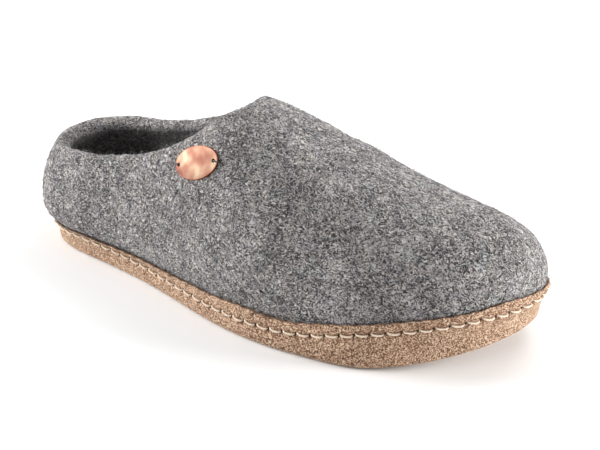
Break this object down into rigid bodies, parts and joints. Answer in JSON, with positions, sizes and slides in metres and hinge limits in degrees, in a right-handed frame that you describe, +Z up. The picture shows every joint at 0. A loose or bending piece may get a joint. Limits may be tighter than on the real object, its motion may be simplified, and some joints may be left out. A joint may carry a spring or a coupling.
{
  "type": "felt slipper",
  "caption": "Right house slipper of thick grey felt with a low back, a high throat, a stitched tan suede cup sole and an oval copper tag on its outer side.",
  "frame": {"origin": "on the floor, under the middle of the slipper's box", "axes": "+X from heel to toe, +Y to the inner, big-toe side, +Z up"},
  "size_m": [0.2766, 0.1066, 0.0951],
  "materials": {
    "suede": "napped suede split, matt",
    "felt": "wet-felted wool, grey melange, matt",
    "footbed": "wool felt, dark grey, matt",
    "copper": "stamped copper, polished"
  },
  "bodies": {
    "root": {"sole": "suede", "upper": "felt", "insole": "footbed", "tag": "copper"}
  },
  "joints": []
}
